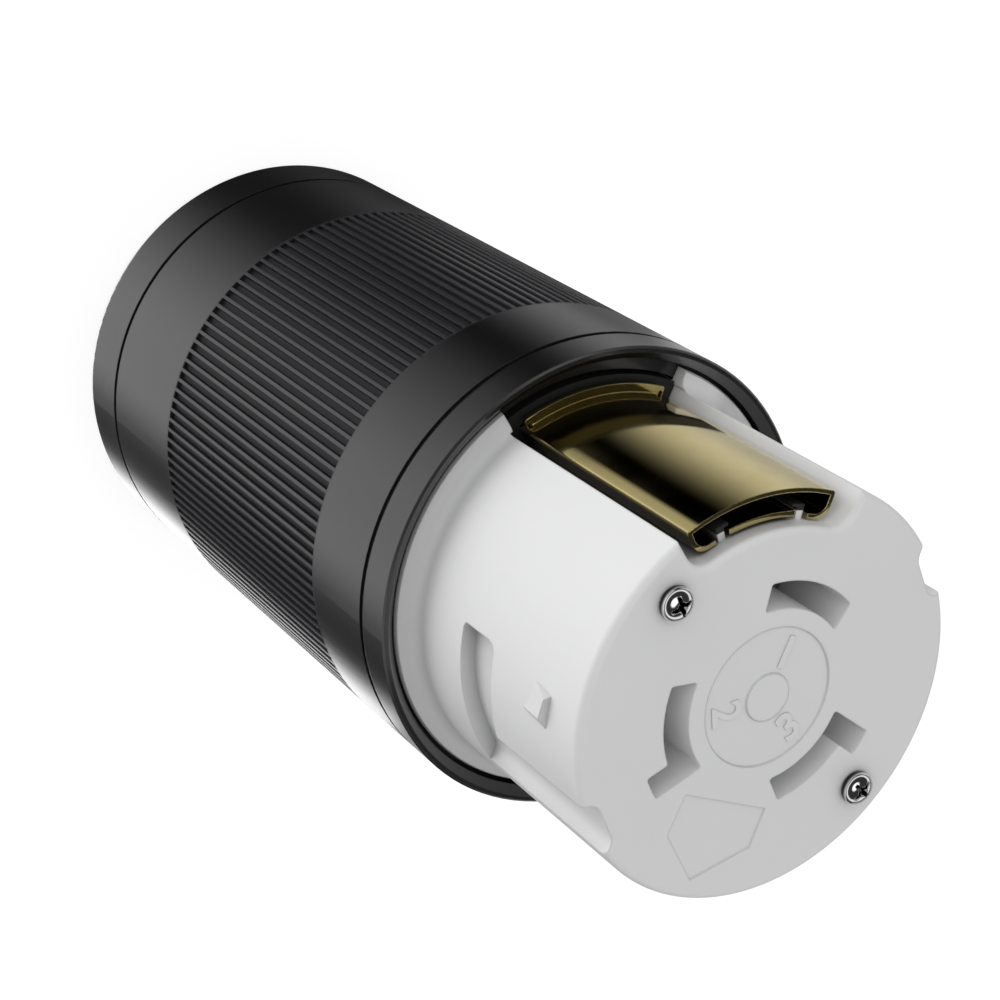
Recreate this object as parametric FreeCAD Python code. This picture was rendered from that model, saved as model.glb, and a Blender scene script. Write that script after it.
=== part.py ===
import FreeCAD, Part
import math
import os

# Locking power connector, the socket half of a three-pole earthed set.
# It stands on its rear rim: z = 0 is the rear face, +Z is the axis towards the mating face.
# The earth recess of the white body faces -Y. All lengths are in millimetres, angles in degrees.

# Overall sizes
body_radius = 28.6
body_reach = 38.5
barrel_length = 101.0
thin_gap = 0.3
touch_gap = 0.1
overall_length = barrel_length + body_reach

# White body, outside
collar_width = 2.8
collar_radius = body_radius + collar_width
collar_seat_z = barrel_length - 3.5
collar_top_z = collar_seat_z + 2.2
collar_lift = 0.1
collar_fillet = 2.2
collar_edge_round = 0.5
collar_gap_shift_angle = -0.6
collar_gap_half_angle = 27.9
collar_gap_radius = body_radius + thin_gap
spigot_radius = body_radius + 0.7
spigot_z = collar_seat_z - 3.5
face_edge_round = 1.0

# Black barrel, outside
collar_clearance = 0.55
mouth_radius = collar_radius + collar_clearance
mouth_wall = 2.05
barrel_radius = mouth_radius + mouth_wall
rear_edge_round = 1.3
front_edge_round = 0.3
band_groove_width = 0.9
band_groove_depth = 0.5
rear_groove_z = 10.1
front_groove_z = barrel_length - 6.6
rib_count = 132
rib_zone_start = 31.4
rib_zone_end = barrel_length - 20.4
rib_groove_depth = 0.65
rib_groove_top = 1.08
rib_groove_floor = 0.9

# Black barrel, inside
lip_land = 0.85
lip_inner_radius = barrel_radius - lip_land
mouth_bevel_z = barrel_length - 1.3
bore_clearance = 0.4
bore_radius = spigot_radius + bore_clearance
ledge_width = 1.4
ledge_z = barrel_length - 43.0
chamber_radius = bore_radius - ledge_width
end_wall_rear_z = 12.0
end_wall_front_z = end_wall_rear_z + 6.0

# Long screws that hold the white body, the carrier and the wire guide in the barrel
face_screw_angles = (-50.0, 130.0)
face_screw_pitch_radius = body_radius - 5.53
face_screw_radius = 1.4
face_screw_hole_radius = face_screw_radius + 0.35
face_screw_start_z = ledge_z - 7.5
face_screw_head_radius = 2.35
face_screw_foot_radius = face_screw_head_radius - 0.25
face_screw_head_height = 2.0
face_screw_edge_height = 0.8
cross_width = 0.7
cross_length = 2.8
cross_depth = 1.2
barrel_insert_bore = face_screw_radius + 0.15
barrel_insert_radius = barrel_insert_bore + 1.05
barrel_insert_length = 8.0
boss_radius = barrel_insert_radius + 1.6
boss_start_z = ledge_z - 18.0
boss_hole_start_z = boss_start_z + 3.0

# Earth recess
recess_angle = -90.0
recess_half_angle = 29.0
recess_depth = 5.7
recess_floor_radius = body_radius - recess_depth
recess_corner = 3.0

# Bayonet channels, two, half a turn apart
channel_depth = 2.2
channel_floor_radius = body_radius - channel_depth
channel_angle = 21.5
channel_floor_sides = (-2.9, 4.4)
channel_mouth_sides = (-3.6, 5.2)
channel_corners = (2.0, 2.4)
channel_rear_z = overall_length - 27.5
channel_side_start_angle = -13.1
channel_side_top_z = channel_rear_z + 7.5
channel_tip_corners = (0.8, 1.6)

# Ramp bumps beside the channels: sideways place, depth behind the mating face, height on the ridge
detent_angle = -6.6
detent_sink = 0.05
detent_foot = ((-3.0, 10.2), (1.8, 12.45), (2.35, 6.85), (-2.3, 6.45))
detent_ridge = ((-1.9, 6.65, 0.95), (0.8, 7.0, 1.2))

# Blade slots in the mating face
pole_angles = (-116.0, 4.0, 124.0)
slot_inner_radius = 12.15
slot_outer_radius = slot_inner_radius + 3.75
slot_inner_half_angle = 30.6
slot_outer_half_angle = 25.9
foot_outer_radius = slot_outer_radius + 3.3
foot_start_angle = 14.3
foot_end_angle = 25.0
slot_corner = 0.4
cavity_top_z = overall_length - 12.5
cavity_inner_radius = slot_inner_radius - 1.85
cavity_outer_radius = foot_outer_radius + 0.4
cavity_half_angle = slot_inner_half_angle + 0.9

# Shallow relief on the mating face
disc_radius = 9.65
button_radius = 3.3
relief_depth = 0.25
label_corners = ((12.3, 10.2), (-0.3, 16.4), (2.0, 21.5), (11.3, 23.2), (15.0, 15.3))

# Contact carrier, black, behind the white body, and the wire guide behind it
wire_guide_thickness = 4.0
carrier_radius = spigot_radius
carrier_start_z = ledge_z + wire_guide_thickness
carrier_end_z = spigot_z
key_inner_radius = recess_floor_radius + thin_gap
key_half_angle = recess_half_angle - 0.5
key_gap_half_angle = collar_gap_half_angle - 0.5
key_top_z = collar_seat_z + 1.0

# Socket contacts, one for each pole
contact_half_angle = 26.0
contact_web_z = spigot_z + 0.6
contact_web_thickness = 1.2
contact_top_z = cavity_top_z - 3.5
leaf_thickness = 0.9
leaf_root_radii = (slot_inner_radius - 1.0, slot_outer_radius + 0.95)
leaf_neck_radii = (slot_inner_radius - 0.35, slot_outer_radius + 0.3)
leaf_mouth_radii = (slot_inner_radius - 1.1, slot_outer_radius + 1.05)
leaf_root_z = contact_web_z + 2.4
leaf_neck_z = (contact_top_z - 8.5, contact_top_z - 5.5)
tab_offset_angle = -17.5
tab_half_width = 2.0
tab_inner = slot_outer_radius - 1.1
tab_thickness = 1.2

# Steel clips that press the contact leaves together
clip_half_angle = 8.5
clip_thickness = 0.5
clip_top_z = leaf_neck_z[0]

# Box terminals
terminal_start_z = carrier_start_z + 8.0
terminal_end_z = terminal_start_z + 12.0
terminal_half_width = 5.5
terminal_wall = 1.5
tab_start_z = terminal_start_z + 2.0
line_terminal_inner = tab_inner - 1.7
line_terminal_outer = carrier_radius - 3.7
line_window_outer = line_terminal_outer - 3.3
ground_terminal_outer = carrier_radius - 1.9
ground_terminal_inner = ground_terminal_outer - 12.2
ground_window_outer = ground_terminal_outer - 2.5
ground_terminal_angle = -84.0
terminal_screw_z = (terminal_start_z + terminal_end_z) / 2
terminal_screw_radius = 2.4
terminal_screw_hole = terminal_screw_radius + 0.2
terminal_screw_outer = carrier_radius - 0.9
driver_slot_width = 1.0
driver_slot_depth = 1.3
plate_inner = line_window_outer - 2.1
plate_thickness = 1.2
plate_half_width = terminal_half_width - terminal_wall - thin_gap
plate_margin_z = 0.8
line_wire_x = line_terminal_inner + 5.1
line_wire_radius = 4.0
ground_wire_x = ground_terminal_inner + 5.3
ground_wire_radius = 3.7
funnel_extra = 1.2

# Earth contact: bent plate with wrapped sides, and the flat strap under it
plate_outer_radius = body_radius - 1.4
plate_bottom_radius = recess_floor_radius + thin_gap
plate_half_angle = 24.6
sheet_thickness = 0.6
lip_end_half_angle = 17.2
wrap_corner = 2.0
outer_corner = 0.35
ground_front_z = overall_length - 2.5
ground_rear_z = key_top_z + touch_gap
upstand_radius = body_radius - 0.15
upstand_half_angle = 23.3
upstand_start_z = ground_rear_z + 0.7
upstand_end_z = upstand_start_z + sheet_thickness
upstand_corner = 0.4
relief_hole_radius = 0.35
relief_hole_lift = 0.2
relief_hole_angle = 22.4
tail_inner_radius = plate_outer_radius - sheet_thickness
tail_outer_radius = plate_outer_radius - 0.1
tail_half_angles = (19.5, 23.5)
tail_start_z = spigot_z - 5.0
strap_thickness = 0.75
strap_inner_radius = recess_floor_radius + 0.55
strap_outer_radius = strap_inner_radius + strap_thickness
strap_half_angle = 12.0
strap_narrow_z = spigot_z - 1.0
strap_tail_half_angle = 5.0
strap_clearance = 0.25
slot_side_clearance_angle = 0.6
pad_half_angle = strap_half_angle - 0.2
pad_front_z = ground_front_z - 2.5
hook_angles = (13.2, 15.8)
hook_lip_angle = 11.4
hook_under_radius = strap_outer_radius + thin_gap
hook_top_radius = hook_under_radius + 0.4
hook_start_z = key_top_z + 0.5
hook_end_z = ground_front_z - 0.4

# Cord seal at the rear
seal_bore_radius = 11.5
seal_body_radius = seal_bore_radius + 2.5
seal_clearance = 0.2
cord_hole_radius = seal_body_radius + seal_clearance
seal_flange_radius = seal_body_radius + 6.0
seal_start_z = end_wall_rear_z + 0.3
seal_flange_thickness = 2.5

# Cord clamp
jaw_clearance = 0.25
jaw_half_angle = 83.0
jaw_rear_z = 1.5
jaw_front_z = end_wall_rear_z - 0.2
jaw_bore_radius = seal_bore_radius + 1.5
jaw_tooth_radius = jaw_bore_radius - 0.8
jaw_tooth_count = 3
jaw_seat_rear_radius = jaw_bore_radius + 10.5
jaw_seat_front_radius = jaw_bore_radius + 8.0
clamp_screw_x = jaw_bore_radius + 5.6
clamp_screw_radius = 2.0
clamp_screw_end_z = end_wall_front_z - 1.0
clamp_head_radius = 3.3
clamp_head_height = 2.6
clamp_head_top_z = jaw_rear_z + 0.7
clamp_hole_radius = clamp_screw_radius + 0.3
clamp_counterbore_radius = clamp_head_radius + 0.3
clamp_insert_bore = clamp_screw_radius + 0.15
clamp_insert_radius = clamp_insert_bore + 0.75

axis = FreeCAD.Vector(0, 0, 1)
origin = FreeCAD.Vector(0, 0, 0)
half_turn = 180.0
full_turn = 360.0


# Helpers for plain solids
def polar(radius, degrees, z=0.0):
    angle = math.radians(degrees)
    return FreeCAD.Vector(radius * math.cos(angle), radius * math.sin(angle), z)


def turned(shape, degrees):
    copy = shape.copy()
    copy.rotate(origin, axis, degrees)
    return copy


def cylinder(radius, start_z, end_z, x=0.0, y=0.0):
    return Part.makeCylinder(radius, end_z - start_z, FreeCAD.Vector(x, y, start_z), axis)


def block(start_x, end_x, half_width, start_z, end_z):
    corner = FreeCAD.Vector(start_x, -half_width, start_z)
    return Part.makeBox(end_x - start_x, 2 * half_width, end_z - start_z, corner)


def arc_edge(radius, start, end, z):
    middle = polar(radius, (start + end) / 2, z)
    return Part.Arc(polar(radius, start, z), middle, polar(radius, end, z)).toShape()


def sector(inner, outer, start, end, start_z, end_z):
    edges = [
        arc_edge(outer, start, end, start_z),
        Part.makeLine(polar(outer, end, start_z), polar(inner, end, start_z)),
        arc_edge(inner, end, start, start_z),
        Part.makeLine(polar(inner, start, start_z), polar(outer, start, start_z)),
    ]
    face = Part.Face(Part.Wire(edges))
    return face.extrude(FreeCAD.Vector(0, 0, end_z - start_z))


def outline(steps):
    # Each step is a point (r, z), or a middle point and an end point of an arc.
    edges = []
    here = steps[0]
    for step in steps[1:] + [steps[0]]:
        if len(step) == 4:
            points = [here, (step[0], step[1]), (step[2], step[3])]
            vectors = [FreeCAD.Vector(r, 0, z) for r, z in points]
            edges.append(Part.Arc(*vectors).toShape())
            here = (step[2], step[3])
        else:
            start = FreeCAD.Vector(here[0], 0, here[1])
            edges.append(Part.makeLine(start, FreeCAD.Vector(step[0], 0, step[1])))
            here = step
    return Part.Face(Part.Wire(edges))


def revolved(steps, degrees=full_turn, start=0.0):
    solid = outline(steps).revolve(origin, axis, degrees)
    return turned(solid, start)


def prism(points, start_z, end_z):
    corners = [FreeCAD.Vector(x, y, start_z) for x, y in points]
    face = Part.Face(Part.makePolygon(corners + [corners[0]]))
    return face.extrude(FreeCAD.Vector(0, 0, end_z - start_z))


def upright_edges(solid, keep):
    # Straight edges along the axis whose end points pass the test on radius and angle.
    chosen = []
    for edge in solid.Edges:
        first = edge.Vertexes[0].Point
        last = edge.Vertexes[-1].Point
        across = math.hypot(first.x - last.x, first.y - last.y)
        if across < 1e-6 and abs(first.z - last.z) > 1e-3 and keep(math.hypot(first.x, first.y), first):
            chosen.append(edge)
    return chosen


def export(name, shape):
    shape.exportStep("parts/" + name + ".step")


# Black barrel
def make_housing():
    diagonal = 1 - math.sqrt(0.5)
    groove_radius = barrel_radius - band_groove_depth
    rear_groove_end = rear_groove_z + band_groove_width
    front_groove_end = front_groove_z + band_groove_width
    steps = [
        (jaw_seat_rear_radius, 0.0),
        (barrel_radius - rear_edge_round, 0.0),
        (
            barrel_radius - diagonal * rear_edge_round,
            diagonal * rear_edge_round,
            barrel_radius,
            rear_edge_round,
        ),
        (barrel_radius, rear_groove_z),
        (groove_radius, rear_groove_z),
        (groove_radius, rear_groove_end),
        (barrel_radius, rear_groove_end),
        (barrel_radius, front_groove_z),
        (groove_radius, front_groove_z),
        (groove_radius, front_groove_end),
        (barrel_radius, front_groove_end),
        (barrel_radius, barrel_length - front_edge_round),
        (barrel_radius - front_edge_round, barrel_length),
        (lip_inner_radius, barrel_length),
        (mouth_radius, mouth_bevel_z),
        (mouth_radius, collar_seat_z),
        (bore_radius, collar_seat_z),
        (bore_radius, ledge_z),
        (chamber_radius, ledge_z),
        (chamber_radius, end_wall_front_z),
        (cord_hole_radius, end_wall_front_z),
        (cord_hole_radius, end_wall_rear_z),
        (jaw_seat_front_radius, end_wall_rear_z),
    ]
    shell = revolved(steps)
    for angle in face_screw_angles:
        boss = cylinder(boss_radius, boss_start_z, ledge_z, face_screw_pitch_radius, 0)
        web = block(face_screw_pitch_radius, chamber_radius + 1, boss_radius, boss_start_z, ledge_z)
        boss = boss.fuse(web)
        shell = shell.fuse(turned(boss, angle))
    holes = []
    insert_hole = barrel_insert_radius + touch_gap
    insert_start_z = ledge_z - barrel_insert_length
    for angle in face_screw_angles:
        centre = polar(face_screw_pitch_radius, angle)
        holes.append(cylinder(insert_hole, insert_start_z, ledge_z + 1, centre.x, centre.y))
        holes.append(cylinder(face_screw_hole_radius, boss_hole_start_z, ledge_z, centre.x, centre.y))
    for side in (-1, 1):
        hole_radius = clamp_insert_radius + touch_gap
        place = side * clamp_screw_x
        holes.append(cylinder(hole_radius, end_wall_rear_z - 1, end_wall_front_z + 1, place, 0))
    floor = barrel_radius - rib_groove_depth
    outside = barrel_radius + rib_groove_depth
    top_half = rib_groove_top / 2 + (rib_groove_top - rib_groove_floor) / 2
    groove = prism(
        [
            (floor, -rib_groove_floor / 2),
            (outside, -top_half),
            (outside, top_half),
            (floor, rib_groove_floor / 2),
        ],
        rib_zone_start,
        rib_zone_end,
    )
    for index in range(rib_count):
        holes.append(turned(groove, index * full_turn / rib_count))
    return shell.cut(holes).removeSplitter()


# White body
def slot_tool(has_foot):
    start_z = cavity_top_z - 1
    inner_start = polar(slot_inner_radius, -slot_inner_half_angle, start_z)
    inner_end = polar(slot_inner_radius, slot_inner_half_angle, start_z)
    outer_start = polar(slot_outer_radius, -slot_outer_half_angle, start_z)
    edges = [arc_edge(slot_inner_radius, slot_inner_half_angle, -slot_inner_half_angle, start_z)]
    edges.append(Part.makeLine(inner_start, outer_start))
    if has_foot:
        foot_root = polar(slot_outer_radius, foot_start_angle, start_z)
        foot_start = polar(foot_outer_radius, foot_start_angle, start_z)
        foot_end = polar(foot_outer_radius, foot_end_angle, start_z)
        edges.append(arc_edge(slot_outer_radius, -slot_outer_half_angle, foot_start_angle, start_z))
        edges.append(Part.makeLine(foot_root, foot_start))
        edges.append(arc_edge(foot_outer_radius, foot_start_angle, foot_end_angle, start_z))
        edges.append(Part.makeLine(foot_end, inner_end))
    else:
        outer_end = polar(slot_outer_radius, slot_outer_half_angle, start_z)
        edges.append(arc_edge(slot_outer_radius, -slot_outer_half_angle, slot_outer_half_angle, start_z))
        edges.append(Part.makeLine(outer_end, inner_end))
    slot = Part.Face(Part.Wire(edges)).extrude(FreeCAD.Vector(0, 0, overall_length + 1 - start_z))
    return slot.makeFillet(slot_corner, upright_edges(slot, lambda r, p: True))


def channel_tool():
    # A flat-bottomed channel runs in from the face, then a curved slot turns off it to the locked place.
    beyond = barrel_radius + 2
    section = [
        (channel_floor_radius, channel_floor_sides[0]),
        (beyond, channel_floor_sides[0] + mouth_slope(0) * (beyond - channel_floor_radius)),
        (beyond, channel_floor_sides[1] + mouth_slope(1) * (beyond - channel_floor_radius)),
        (channel_floor_radius, channel_floor_sides[1]),
    ]
    along = prism(section, channel_rear_z, overall_length + 1)
    for side, radius in enumerate(channel_corners):
        place = channel_floor_sides[side]
        corner = upright_edges(
            along, lambda r, p: p.x < channel_floor_radius + 0.1 and abs(p.y - place) < 0.01
        )
        along = along.makeFillet(radius, corner)
    around = sector(
        channel_floor_radius,
        beyond,
        channel_side_start_angle,
        channel_angle,
        channel_rear_z,
        channel_side_top_z,
    )
    for radius, height in zip(channel_tip_corners, (channel_rear_z, channel_side_top_z)):
        tip = [edge for edge in around.Edges if is_tip_edge(edge, height)]
        around = around.makeFillet(radius, tip)
    return turned(along, channel_angle).fuse(around)


def mouth_slope(side):
    return (channel_mouth_sides[side] - channel_floor_sides[side]) / (body_radius - channel_floor_radius)


def is_tip_edge(edge, height):
    ends = [vertex.Point for vertex in edge.Vertexes]
    level = all(abs(point.z - height) < 1e-4 for point in ends)
    at_tip = all(abs(math.degrees(math.atan2(p.y, p.x)) - channel_side_start_angle) < 0.01 for p in ends)
    return level and at_tip


def detent_point(side, depth, height):
    return FreeCAD.Vector(math.sqrt((body_radius + height) ** 2 - side**2), side, overall_length - depth)


def detent():
    # A low flat ramp that rises towards the face and drops again in a steep step.
    foot = [detent_point(side, depth, -detent_sink) for side, depth in detent_foot]
    low, high = [detent_point(*end) for end in detent_ridge]
    triangles = [
        (foot[0], foot[2], foot[1]),
        (foot[0], foot[3], foot[2]),
        (foot[0], foot[1], high),
        (foot[0], high, low),
        (foot[1], foot[2], high),
        (foot[2], foot[3], low),
        (foot[2], low, high),
        (foot[3], foot[0], low),
    ]
    faces = [Part.Face(Part.makePolygon([a, b, c, a])) for a, b, c in triangles]
    return turned(Part.Solid(Part.Shell(faces)), detent_angle)


def collar_gap_bevel(side):
    # Slopes the end of the collar fillet over to the wider recess.
    wide = side * recess_half_angle
    narrow = collar_gap_shift_angle + side * collar_gap_half_angle
    step = collar_radius * math.radians(wide - narrow)
    fillet_top_z = collar_top_z + collar_fillet
    points = [(0, fillet_top_z), (-step, collar_top_z), (-3 * step, collar_top_z), (-3 * step, fillet_top_z)]
    corners = [FreeCAD.Vector(body_radius, y, z) for y, z in points]
    face = Part.Face(Part.makePolygon(corners + corners[:1]))
    wedge = face.extrude(FreeCAD.Vector(barrel_radius - body_radius, 0, 0))
    return turned(wedge, recess_angle + wide)


def make_front_body():
    diagonal = 1 - math.sqrt(0.5)
    fillet_end_radius = body_radius + collar_fillet
    fillet_top_z = collar_top_z + collar_fillet
    collar_bottom_z = collar_seat_z + collar_lift
    steps = [
        (0.0, overall_length),
        (body_radius, overall_length),
        (body_radius, fillet_top_z),
        (
            body_radius + diagonal * collar_fillet,
            collar_top_z + diagonal * collar_fillet,
            fillet_end_radius,
            collar_top_z,
        ),
        (collar_radius - collar_edge_round / 2, collar_top_z),
        (collar_radius, collar_top_z - collar_edge_round),
        (collar_radius, collar_bottom_z),
        (spigot_radius, collar_bottom_z),
        (spigot_radius, spigot_z),
        (0.0, spigot_z),
    ]
    body = revolved(steps)
    for half in (0.0, half_turn):
        body = body.fuse(turned(detent(), half))
    recess = sector(
        recess_floor_radius,
        collar_gap_radius,
        recess_angle - recess_half_angle,
        recess_angle + recess_half_angle,
        spigot_z - 1,
        overall_length + 1,
    )
    corners = upright_edges(recess, lambda r, p: r < recess_floor_radius + 0.1)
    recess = recess.makeFillet(recess_corner, corners)
    collar_gap = sector(
        collar_gap_radius - 1,
        barrel_radius + 2,
        recess_angle + collar_gap_shift_angle - collar_gap_half_angle,
        recess_angle + collar_gap_shift_angle + collar_gap_half_angle,
        spigot_z - 1,
        overall_length + 1,
    )
    body = body.cut(recess).cut(collar_gap).cut([collar_gap_bevel(side) for side in (-1, 1)])
    rim = [edge for edge in body.Edges if edge.BoundBox.ZMin > overall_length - 0.001]
    body = body.makeFillet(face_edge_round, rim)
    cuts = [turned(channel_tool(), half) for half in (0.0, half_turn)]
    for angle, has_foot in zip(pole_angles, (False, True, True)):
        cuts.append(turned(slot_tool(has_foot), angle))
        start = angle - cavity_half_angle
        end = angle + cavity_half_angle
        cuts.append(sector(cavity_inner_radius, cavity_outer_radius, start, end, spigot_z - 1, cavity_top_z))
    relief_z = overall_length - relief_depth
    disc = cylinder(disc_radius, relief_z, overall_length + 1)
    disc = disc.cut(cylinder(button_radius, 0, overall_length + 1))
    cuts.append(disc)
    cuts.append(prism(label_corners, relief_z, overall_length + 1))
    for angle in face_screw_angles:
        centre = polar(face_screw_pitch_radius, angle)
        cuts.append(cylinder(face_screw_hole_radius, spigot_z - 1, overall_length + 1, centre.x, centre.y))
    body = body.cut(cuts)
    deep = recess_floor_radius - 0.6
    pad_start_z = key_top_z + touch_gap
    ribs = [
        sector(
            deep,
            strap_inner_radius,
            recess_angle - pad_half_angle,
            recess_angle + pad_half_angle,
            pad_start_z,
            pad_front_z,
        )
    ]
    for side in (-1, 1):
        angles = sorted((recess_angle + side * hook_angles[0], recess_angle + side * hook_angles[1]))
        ribs.append(sector(deep, hook_top_radius, angles[0], angles[1], hook_start_z, hook_end_z))
        lips = sorted((recess_angle + side * hook_lip_angle, recess_angle + side * hook_angles[1]))
        ribs.append(sector(hook_under_radius, hook_top_radius, lips[0], lips[1], hook_start_z, hook_end_z))
    for rib in ribs:
        body = body.fuse(rib)
    return body.removeSplitter()


# Contact carrier and wire guide
def terminal_angles():
    return [angle + tab_offset_angle for angle in pole_angles]


def make_contact_carrier():
    body = cylinder(carrier_radius, carrier_start_z, carrier_end_z)
    key = sector(
        key_inner_radius,
        collar_gap_radius - 0.1,
        recess_angle - key_half_angle,
        recess_angle + key_half_angle,
        carrier_end_z - 1,
        key_top_z,
    )
    key = key.makeFillet(recess_corner, upright_edges(key, lambda r, p: r < key_inner_radius + 0.1))
    key_rim = sector(
        collar_gap_radius - 1,
        carrier_radius,
        recess_angle + collar_gap_shift_angle - key_gap_half_angle,
        recess_angle + collar_gap_shift_angle + key_gap_half_angle,
        carrier_end_z - 1,
        key_top_z,
    )
    body = body.fuse(key).fuse(key_rim)
    cuts = []
    beyond = carrier_radius + 2
    half_width = terminal_half_width + thin_gap
    pocket_end_z = terminal_end_z + thin_gap
    for angle in terminal_angles():
        pocket = block(line_terminal_inner - thin_gap, beyond, half_width, terminal_start_z, pocket_end_z)
        slot = block(
            tab_inner - 0.2,
            tab_inner + tab_thickness + 0.2,
            tab_half_width + 0.2,
            terminal_end_z,
            carrier_end_z + 1,
        )
        wire = cylinder(line_wire_radius, carrier_start_z - 1, terminal_start_z + 1, line_wire_x, 0)
        cuts += [turned(tool, angle) for tool in (pocket, slot, wire)]
    pocket = block(ground_terminal_inner - thin_gap, beyond, half_width, terminal_start_z, pocket_end_z)
    wire = cylinder(ground_wire_radius, carrier_start_z - 1, terminal_start_z + 1, ground_wire_x, 0)
    cuts += [turned(tool, ground_terminal_angle) for tool in (pocket, wire)]
    strap_slot = (strap_inner_radius - strap_clearance, strap_outer_radius + strap_clearance)
    cuts.append(
        sector(
            strap_slot[0],
            strap_slot[1],
            ground_terminal_angle - strap_tail_half_angle - slot_side_clearance_angle,
            ground_terminal_angle + strap_tail_half_angle + slot_side_clearance_angle,
            terminal_end_z,
            key_top_z + 1,
        )
    )
    cuts.append(
        sector(
            strap_slot[0],
            strap_slot[1],
            recess_angle - strap_half_angle - slot_side_clearance_angle,
            recess_angle + strap_half_angle + slot_side_clearance_angle,
            strap_narrow_z,
            key_top_z + 1,
        )
    )
    for side in (-1, 1):
        near = tail_half_angles[0] - slot_side_clearance_angle
        far = tail_half_angles[1] + slot_side_clearance_angle
        ends = sorted((recess_angle + side * near, recess_angle + side * far))
        inner = tail_inner_radius - strap_clearance
        outer = tail_outer_radius + strap_clearance
        cuts.append(sector(inner, outer, ends[0], ends[1], tail_start_z, key_top_z + 1))
    for angle in face_screw_angles:
        centre = polar(face_screw_pitch_radius, angle)
        start_z = carrier_start_z - 1
        cuts.append(cylinder(face_screw_hole_radius, start_z, carrier_end_z + 1, centre.x, centre.y))
    return body.cut(cuts).removeSplitter()


def make_wire_guide():
    body = cylinder(carrier_radius, ledge_z, carrier_start_z)
    cuts = []
    places = [(angle, line_wire_x, line_wire_radius) for angle in terminal_angles()]
    places.append((ground_terminal_angle, ground_wire_x, ground_wire_radius))
    height = carrier_start_z - ledge_z
    for angle, x, radius in places:
        base = FreeCAD.Vector(x, 0, ledge_z)
        cuts.append(turned(Part.makeCone(radius + funnel_extra, radius, height, base, axis), angle))
    for angle in face_screw_angles:
        centre = polar(face_screw_pitch_radius, angle)
        cuts.append(cylinder(face_screw_hole_radius, ledge_z - 1, carrier_start_z + 1, centre.x, centre.y))
    return body.cut(cuts).removeSplitter()


# Socket contacts and their clips
def make_socket_contact(angle):
    web_top = contact_web_z + contact_web_thickness
    inside = leaf_thickness
    steps = [
        (leaf_root_radii[1], contact_web_z),
        (leaf_root_radii[1], leaf_root_z),
        (leaf_neck_radii[1], leaf_neck_z[0]),
        (leaf_neck_radii[1], leaf_neck_z[1]),
        (leaf_mouth_radii[1], contact_top_z),
        (leaf_mouth_radii[1] - inside, contact_top_z),
        (leaf_neck_radii[1] - inside, leaf_neck_z[1]),
        (leaf_neck_radii[1] - inside, leaf_neck_z[0]),
        (leaf_root_radii[1] - inside, leaf_root_z),
        (leaf_root_radii[1] - inside, web_top),
        (leaf_root_radii[0] + inside, web_top),
        (leaf_root_radii[0] + inside, leaf_root_z),
        (leaf_neck_radii[0] + inside, leaf_neck_z[0]),
        (leaf_neck_radii[0] + inside, leaf_neck_z[1]),
        (leaf_mouth_radii[0] + inside, contact_top_z),
        (leaf_mouth_radii[0], contact_top_z),
        (leaf_neck_radii[0], leaf_neck_z[1]),
        (leaf_neck_radii[0], leaf_neck_z[0]),
        (leaf_root_radii[0], leaf_root_z),
        (leaf_root_radii[0], contact_web_z),
    ]
    jaw = revolved(steps, 2 * contact_half_angle, -contact_half_angle)
    tab = block(tab_inner, tab_inner + tab_thickness, tab_half_width, tab_start_z, web_top)
    return turned(jaw.fuse(turned(tab, tab_offset_angle)).removeSplitter(), angle)


def make_contact_clip(angle):
    inner = [radius - touch_gap for radius in (leaf_root_radii[0], leaf_neck_radii[0])]
    outer = [radius + touch_gap for radius in (leaf_root_radii[1], leaf_neck_radii[1])]
    web_top = contact_web_z - touch_gap
    steps = [
        (outer[0] + clip_thickness, web_top - clip_thickness),
        (outer[0] + clip_thickness, leaf_root_z),
        (outer[1] + clip_thickness, clip_top_z),
        (outer[1], clip_top_z),
        (outer[0], leaf_root_z),
        (outer[0], web_top),
        (inner[0], web_top),
        (inner[0], leaf_root_z),
        (inner[1], clip_top_z),
        (inner[1] - clip_thickness, clip_top_z),
        (inner[0] - clip_thickness, leaf_root_z),
        (inner[0] - clip_thickness, web_top - clip_thickness),
    ]
    return turned(revolved(steps, 2 * clip_half_angle, -clip_half_angle), angle)


# Terminals, pressure plates and terminal screws
def make_terminal(angle, inner, outer, window_outer):
    lug = block(inner, outer, terminal_half_width, terminal_start_z, terminal_end_z)
    window = block(
        inner + tab_inner - line_terminal_inner,
        window_outer,
        terminal_half_width - terminal_wall,
        terminal_start_z - 1,
        terminal_end_z + 1,
    )
    hole = Part.makeCylinder(
        terminal_screw_hole,
        outer - window_outer + 2,
        FreeCAD.Vector(window_outer - 1, 0, terminal_screw_z),
        FreeCAD.Vector(1, 0, 0)
    )
    return turned(lug.cut(window).cut(hole), angle)


def make_pressure_plate(angle):
    start_z = terminal_start_z + plate_margin_z
    end_z = terminal_end_z - plate_margin_z
    return turned(block(plate_inner, plate_inner + plate_thickness, plate_half_width, start_z, end_z), angle)


def make_terminal_screw(angle, tip):
    start = FreeCAD.Vector(tip, 0, terminal_screw_z)
    length = terminal_screw_outer - tip
    screw = Part.makeCylinder(terminal_screw_radius, length, start, FreeCAD.Vector(1, 0, 0))
    slot = block(
        terminal_screw_outer - driver_slot_depth,
        terminal_screw_outer + 1,
        terminal_screw_radius + 1,
        terminal_screw_z - driver_slot_width / 2,
        terminal_screw_z + driver_slot_width / 2,
    )
    return turned(screw.cut(slot), angle)


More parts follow.
